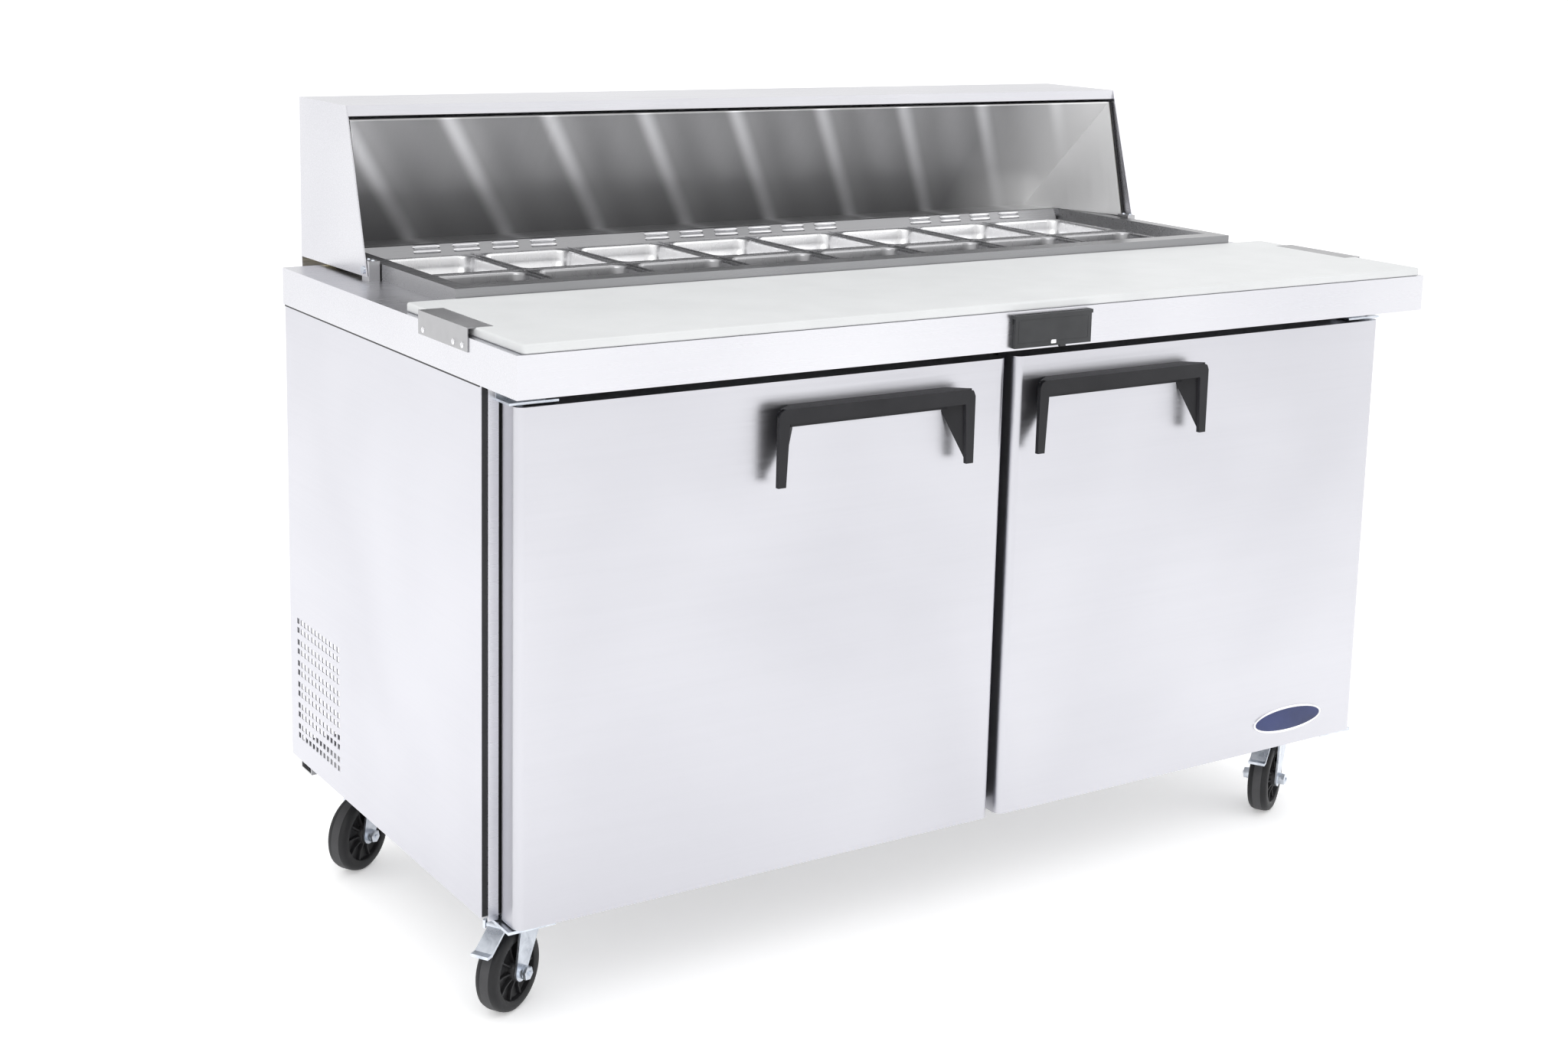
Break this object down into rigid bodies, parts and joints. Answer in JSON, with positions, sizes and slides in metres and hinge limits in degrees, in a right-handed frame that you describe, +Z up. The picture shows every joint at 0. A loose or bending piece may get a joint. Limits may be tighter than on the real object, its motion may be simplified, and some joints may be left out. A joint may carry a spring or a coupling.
{
  "type": "refrigerated sandwich prep table",
  "caption": "Mobile refrigerated sandwich prep table: roll-back hood over lift-out food pans, cutting board, hinged doors and swivel casters.",
  "frame": {"origin": "on the floor under the middle of the bounding box", "axes": "+X to the right seen from the front, +Y from the doors to the back, +Z up"},
  "size_m": [1.529, 0.848, 1.125],
  "materials": {
    "steel": "brushed",
    "steel_dull": "satin",
    "pan_steel": "satin",
    "lining": "satin",
    "zinc": "zinc plated",
    "foam": "matte",
    "board": "matte",
    "gasket": "matte",
    "wheel": "satin",
    "black_plastic": "gloss",
    "handle": "satin",
    "black_paint": "gloss",
    "shelf_coating": "epoxy coated",
    "aluminium_fins": "fins"
  },
  "bodies": {
    "cabinet": {"countertop": "steel", "side_panels": "steel", "back_panel": "steel_dull", "power_inlet": "black_plastic", "base_pan": "steel_dull", "insulation": "foam", "interior_liner": "lining", "front_frame": "steel_dull", "wire_shelves": "shelf_coating", "pan_collar": "steel", "louvre_plate": "steel_dull", "divider_bars": "steel", "canopy_liner": "lining", "hood_pivot_brackets": "steel_dull", "hinge_brackets": "zinc", "controller_housing": "black_plastic", "caster_plates": "zinc", "compressor": "black_paint", "condenser_coil": "aluminium_fins", "evaporator_coil": "aluminium_fins"},
    "hood": {"hood_shell": "steel", "hood_pivot_pins": "zinc"},
    "left_door": {"left_door_skin": "steel", "left_door_core": "lining", "left_door_gasket": "gasket", "left_door_handle": "handle"},
    "right_door": {"right_door_skin": "steel", "right_door_core": "lining", "right_door_gasket": "gasket", "right_door_handle": "handle"},
    "cover": {"controller_cover": "black_plastic"},
    "board": {"cutting_board": "board", "board_brackets": "steel"},
    "fan": {"condenser_fan": "black_plastic"},
    "fork_front_left": {"caster_fork_front_left": "zinc"},
    "wheel_front_left": {"caster_wheel_front_left": "wheel"},
    "fork_front_right": {"caster_fork_front_right": "zinc"},
    "wheel_front_right": {"caster_wheel_front_right": "wheel"},
    "fork_rear_left": {"caster_fork_rear_left": "zinc"},
    "wheel_rear_left": {"caster_wheel_rear_left": "wheel"},
    "fork_rear_right": {"caster_fork_rear_right": "zinc"},
    "wheel_rear_right": {"caster_wheel_rear_right": "wheel"},
    "pedal_front_left": {"brake_pedal_front_left": "zinc"},
    "pedal_front_right": {"brake_pedal_front_right": "zinc"},
    "front_pan_1": {"front_pan_1": "pan_steel"},
    "front_pan_2": {"front_pan_2": "pan_steel"},
    "front_pan_3": {"front_pan_3": "pan_steel"},
    "front_pan_4": {"front_pan_4": "pan_steel"},
    "front_pan_5": {"front_pan_5": "pan_steel"},
    "front_pan_6": {"front_pan_6": "pan_steel"},
    "front_pan_7": {"front_pan_7": "pan_steel"},
    "front_pan_8": {"front_pan_8": "pan_steel"},
    "rear_pan_1": {"rear_pan_1": "pan_steel"},
    "rear_pan_2": {"rear_pan_2": "pan_steel"},
    "rear_pan_3": {"rear_pan_3": "pan_steel"},
    "rear_pan_4": {"rear_pan_4": "pan_steel"},
    "rear_pan_5": {"rear_pan_5": "pan_steel"},
    "rear_pan_6": {"rear_pan_6": "pan_steel"},
    "rear_pan_7": {"rear_pan_7": "pan_steel"},
    "rear_pan_8": {"rear_pan_8": "pan_steel"}
  },
  "joints": [
    {"name": "hood_hinge", "type": "hinge", "parent": "cabinet", "child": "hood", "pos_m": [0, 0.184, 0.902], "axis": [1, 0, 0], "range_deg": [0, 102]},
    {"name": "left_door_hinge", "type": "hinge", "parent": "cabinet", "child": "left_door", "pos_m": [-0.722, -0.34, 0.481], "axis": [0, 0, -1], "range_deg": [0, 110]},
    {"name": "right_door_hinge", "type": "hinge", "parent": "cabinet", "child": "right_door", "pos_m": [0.722, -0.34, 0.481], "axis": [0, 0, 1], "range_deg": [0, 110]},
    {"name": "cover_flip", "type": "hinge", "parent": "cabinet", "child": "cover", "pos_m": [0.03, -0.4218, 0.8808], "axis": [-1, 0, 0], "range_deg": [0, 100]},
    {"name": "board_lift", "type": "slide", "parent": "cabinet", "child": "board", "axis": [0, 0, 1], "range_m": [0, 0.15]},
    {"name": "swivel_front_left", "type": "hinge", "parent": "cabinet", "child": "fork_front_left", "pos_m": [-0.675, -0.251, 0.145], "axis": [0, 0, 1], "continuous": true},
    {"name": "wheel_spin_front_left", "type": "hinge", "parent": "fork_front_left", "child": "wheel_front_left", "pos_m": [-0.70085, -0.26623, 0.055], "axis": [-0.5075, 0.8616, 0], "continuous": true},
    {"name": "swivel_front_right", "type": "hinge", "parent": "cabinet", "child": "fork_front_right", "pos_m": [0.675, -0.251, 0.145], "axis": [0, 0, 1], "continuous": true},
    {"name": "wheel_spin_front_right", "type": "hinge", "parent": "fork_front_right", "child": "wheel_front_right", "pos_m": [0.64915, -0.26623, 0.055], "axis": [-0.5075, 0.8616, 0], "continuous": true},
    {"name": "swivel_rear_left", "type": "hinge", "parent": "cabinet", "child": "fork_rear_left", "pos_m": [-0.675, 0.254, 0.145], "axis": [0, 0, 1], "continuous": true},
    {"name": "wheel_spin_rear_left", "type": "hinge", "parent": "fork_rear_left", "child": "wheel_rear_left", "pos_m": [-0.70085, 0.23877, 0.055], "axis": [-0.5075, 0.8616, 0], "continuous": true},
    {"name": "swivel_rear_right", "type": "hinge", "parent": "cabinet", "child": "fork_rear_right", "pos_m": [0.675, 0.254, 0.145], "axis": [0, 0, 1], "continuous": true},
    {"name": "wheel_spin_rear_right", "type": "hinge", "parent": "fork_rear_right", "child": "wheel_rear_right", "pos_m": [0.64915, 0.23877, 0.055], "axis": [-0.5075, 0.8616, 0], "continuous": true},
    {"name": "brake_press_front_left", "type": "hinge", "parent": "fork_front_left", "child": "pedal_front_left", "pos_m": [-0.71981, -0.27739, 0.121], "axis": [0.5075, -0.8616, 0], "range_deg": [0, 12]},
    {"name": "brake_press_front_right", "type": "hinge", "parent": "fork_front_right", "child": "pedal_front_right", "pos_m": [0.63019, -0.27739, 0.121], "axis": [0.5075, -0.8616, 0], "range_deg": [0, 12]},
    {"name": "condenser_fan_spin", "type": "hinge", "parent": "cabinet", "child": "fan", "pos_m": [-0.495, 0.246, 0.268], "axis": [1, 0, 0], "continuous": true},
    {"name": "front_pan_1_lift", "type": "slide", "parent": "cabinet", "child": "front_pan_1", "axis": [0, 0, 1], "range_m": [0, 0.2]},
    {"name": "front_pan_2_lift", "type": "slide", "parent": "cabinet", "child": "front_pan_2", "axis": [0, 0, 1], "range_m": [0, 0.2]},
    {"name": "front_pan_3_lift", "type": "slide", "parent": "cabinet", "child": "front_pan_3", "axis": [0, 0, 1], "range_m": [0, 0.2]},
    {"name": "front_pan_4_lift", "type": "slide", "parent": "cabinet", "child": "front_pan_4", "axis": [0, 0, 1], "range_m": [0, 0.2]},
    {"name": "front_pan_5_lift", "type": "slide", "parent": "cabinet", "child": "front_pan_5", "axis": [0, 0, 1], "range_m": [0, 0.2]},
    {"name": "front_pan_6_lift", "type": "slide", "parent": "cabinet", "child": "front_pan_6", "axis": [0, 0, 1], "range_m": [0, 0.2]},
    {"name": "front_pan_7_lift", "type": "slide", "parent": "cabinet", "child": "front_pan_7", "axis": [0, 0, 1], "range_m": [0, 0.2]},
    {"name": "front_pan_8_lift", "type": "slide", "parent": "cabinet", "child": "front_pan_8", "axis": [0, 0, 1], "range_m": [0, 0.2]},
    {"name": "rear_pan_1_lift", "type": "slide", "parent": "cabinet", "child": "rear_pan_1", "axis": [0, 0, 1], "range_m": [0, 0.11]},
    {"name": "rear_pan_2_lift", "type": "slide", "parent": "cabinet", "child": "rear_pan_2", "axis": [0, 0, 1], "range_m": [0, 0.11]},
    {"name": "rear_pan_3_lift", "type": "slide", "parent": "cabinet", "child": "rear_pan_3", "axis": [0, 0, 1], "range_m": [0, 0.11]},
    {"name": "rear_pan_4_lift", "type": "slide", "parent": "cabinet", "child": "rear_pan_4", "axis": [0, 0, 1], "range_m": [0, 0.11]},
    {"name": "rear_pan_5_lift", "type": "slide", "parent": "cabinet", "child": "rear_pan_5", "axis": [0, 0, 1], "range_m": [0, 0.11]},
    {"name": "rear_pan_6_lift", "type": "slide", "parent": "cabinet", "child": "rear_pan_6", "axis": [0, 0, 1], "range_m": [0, 0.11]},
    {"name": "rear_pan_7_lift", "type": "slide", "parent": "cabinet", "child": "rear_pan_7", "axis": [0, 0, 1], "range_m": [0, 0.11]},
    {"name": "rear_pan_8_lift", "type": "slide", "parent": "cabinet", "child": "rear_pan_8", "axis": [0, 0, 1], "range_m": [0, 0.11]}
  ]
}
